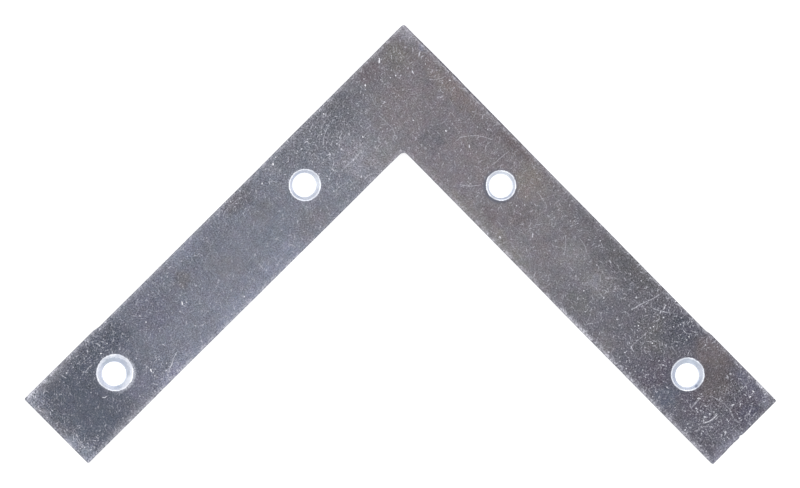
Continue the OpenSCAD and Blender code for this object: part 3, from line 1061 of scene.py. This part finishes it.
# Painted light and shade on the countersinks, where one is brighter or darker than the rest of it: place,
# half length, half width, colour
SINK_LIGHT_AND_SHADE = {"x": (
    (86.8, 6.2, 2.6, 2.4, (220, 223, 233)), (82.6, 7, 1.6, 2.4, (180, 188, 205)),
    (83.6, 5.8, 1.8, 1.2, (184, 193, 205)), (84.2, 10.3, 2.8, 1.2, (184, 192, 205)),
    (83.4, 11.4, 2.8, 1.1, (250, 251, 254)), (87.6, 9.4, 1, 1.6, (214, 217, 228)),
    (32.4, 9.6, 1, 1.8, (222, 227, 235)), (36.4, 6.6, 1.4, 1.4, (228, 230, 240)),
), "y": (
    (32.6, 10, 1.8, 1.8, (228, 230, 236)), (33.6, 6.2, 1.8, 1.2, (194, 201, 211)),
    (83.2, 6.4, 2.4, 1.6, (180, 189, 203)), (84.8, 11.2, 2.2, 1.4, (206, 210, 221)),
    (87.4, 8.6, 0.5, 0.4, (128, 136, 158)),
)}

# Colours of the countersinks, light partly as cut zinc and partly as a painted reflection of the bright
# surroundings, of their lower ends with a painted reflection, of the painted highlight on their rims and of
# their rims where worn, and of the wall
SINK_GREY = linear(200, 205, 217)
BORE_REFLECTION = linear(226, 230, 238)
RIM_HIGHLIGHT = linear(238, 240, 247)
RIM_WORN = linear(130, 132, 143)
WALL_GREY = linear(128, 128, 136)


def sink_material():
    """Cut zinc in the countersinks and the bores, light partly from a painted reflection of the bright
    surroundings, with painted light and shade on the cones, a painted highlight ring at the rim and a painted
    reflection whitest towards the bore. The highlight ring is wider at the x leg's last hole."""
    n = new_material("bright_zinc_countersink")
    place = object_mm(n)
    rim = n.attribute("rim_mm")
    turning = n.noise(n.join(n.times(rim, 9), 0), 1, 2, 0.6)
    blotch = n.noise(place, 1.6, 3, 0.6, flat=False)
    fleck = n.noise(place, 0.35, 2, 0.6, flat=False)
    # Painted light and shade on the cones
    colour = stained_and_shaded(n, place, SINK_GREY, SINK_LIGHT_AND_SHADE)
    # Painted reflection, lighter towards the bore
    toward_bore = n.rise(n.attribute("bore_mm"), 0.26, 0, 0, 0.7)
    colour = n.mix(toward_bore, colour, BORE_REFLECTION)
    # Painted highlight ring at the rim, uneven and wider at the x leg's last hole
    ragged = n.add(rim, n.around(fleck, 0.5, 0.45))
    x_last = patch(n, place, "x", 84.8, 8.3, 8, 8)
    starts = n.add(-0.4, n.times(x_last, -0.28))
    broken = n.rise(blotch, 0.4, 0.6, 0.35, 0.95)
    ring = n.times(n.rise(n.math("SUBTRACT", ragged, starts), 0, 0.2), broken)
    colour = n.mix(ring, colour, RIM_HIGHLIGHT)
    worn_over = n.rise(ragged, -0.14, 0, 0, 0.9)
    colour = n.mix(worn_over, colour, RIM_WORN)
    shade = n.add(1, n.around(blotch, 0.5, 0.2), n.around(turning, 0.5, 0.08), n.around(fleck, 0.5, 0.2))
    return n.metal(n.scaled(colour, shade), 0.35)


def wall_material():
    """Zinc over the sheared edge: smooth with upright streaks above, grainy where the steel broke below."""
    n = new_material("zinc_sheared_edge")
    place = object_mm(n)
    x, y, z = n.parts(place)
    streaks = n.noise(n.join(x, y, n.times(z, 0.15)), 0.16, 2, 0.6, flat=False)
    grains = n.noise(place, 0.22, 3, 0.65, flat=False)
    broken = n.rise(z, 1.15, 0.95)
    pattern = n.add(n.times(streaks, n.math("SUBTRACT", 1, broken)), n.times(grains, broken))
    tone = n.add(0.7, n.times(pattern, 0.6))
    return n.metal(n.scaled(WALL_GREY[:3], tone), 0.45, Normal=n.bump(pattern, 0.6, 0.04))


def add_plate():
    mesh = build_plate()
    for material in (face_material(), wall_material(), sink_material()):
        mesh.materials.append(material)
    plate = add_object("stamped_brace", mesh)
    for polygon in mesh.polygons:
        polygon.use_smooth = True
    mesh.set_sharp_from_angle(angle=math.radians(38))
    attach(plate, "root")
    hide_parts(NODE)


add_plate()


# -------- table and light

# The table's colour, how much it glows where it is seen directly, half its width in metres, and how far it
# lies below the plate's back face
TABLE_WHITE = (0.88, 0.88, 0.88, 1)
TABLE_GLOW = 0.6
TABLE_HALF = 3
TABLE_DROP = 0.02 * MM

# Colour and strength of the light from all round
SKY_WHITE = (0.97, 0.98, 1, 1)
SKY_STRENGTH = 0.62

# The lamps' distance and width in metres and their angle above the table, and each one's compass direction in
# degrees and power in watts
LAMP_DISTANCE = 0.9
LAMP_WIDTH = 0.7
LAMP_RISE = math.radians(42)
SOFTBOXES = {
    "softbox_a": (225, 1.4),
    "softbox_b": (315, 1.1),
    "softbox_c": (45, 0.8),
    "softbox_d": (135, 1.0),
}


def seen_directly(n):
    """1 for what the camera, a reflection or clear glass shows, 0 for what lights the plate."""
    ray = n.make("LightPath")
    reflected = n.math("MAXIMUM", ray["Is Glossy Ray"], ray["Is Transmission Ray"])
    return n.math("MAXIMUM", ray["Is Camera Ray"], reflected)


def add_table():
    """A plain white table top. It shows white to the camera and in reflections, and keeps a soft shadow."""
    n = new_material("white_table")
    diffuse = n.make("BsdfDiffuse", {"Color": TABLE_WHITE})[0]
    glow = n.make("Emission", {"Strength": n.times(seen_directly(n), TABLE_GLOW)})[0]
    both = n.make("AddShader", (diffuse, glow))[0]
    mesh = bpy.data.meshes.new("table")
    corners = [(TABLE_HALF * x, TABLE_HALF * y, 0) for x, y in ((-1, -1), (1, -1), (1, 1), (-1, 1))]
    mesh.from_pydata(corners, [], [(0, 1, 2, 3)])
    mesh.materials.append(n.finish(both))
    table = add_object("table", mesh)
    table.location.z = -TABLE_DROP


def add_world():
    """Even white light from all round, and a white background."""
    world = bpy.data.worlds.new("studio")
    bpy.context.scene.world = world
    n = Nodes(world)
    light = n.make("Background", {"Color": SKY_WHITE, "Strength": SKY_STRENGTH})[0]
    backdrop = n.make("Background", {"Color": (1, 1, 1, 1), "Strength": 1})[0]
    n.finish(n.make("MixShader", (seen_directly(n), light, backdrop))[0], "OutputWorld")


def add_softbox(name, direction, power):
    """A large soft lamp that points at the plate from this compass direction."""
    data = bpy.data.lights.new(name, "AREA")
    data.shape = "SQUARE"
    data.size = LAMP_WIDTH
    data.energy = power
    turn = math.radians(direction)
    level = math.cos(LAMP_RISE)
    towards = Vector((math.cos(turn) * level, math.sin(turn) * level, math.sin(LAMP_RISE)))
    lamp = add_object(name, data)
    lamp.location = towards * LAMP_DISTANCE
    lamp.rotation_euler = towards.to_track_quat("Z", "Y").to_euler()


add_table()
add_world()
for lamp_name, (direction, power) in SOFTBOXES.items():
    add_softbox(lamp_name, direction, power)
bpy.context.scene.view_settings.view_transform = "Standard"
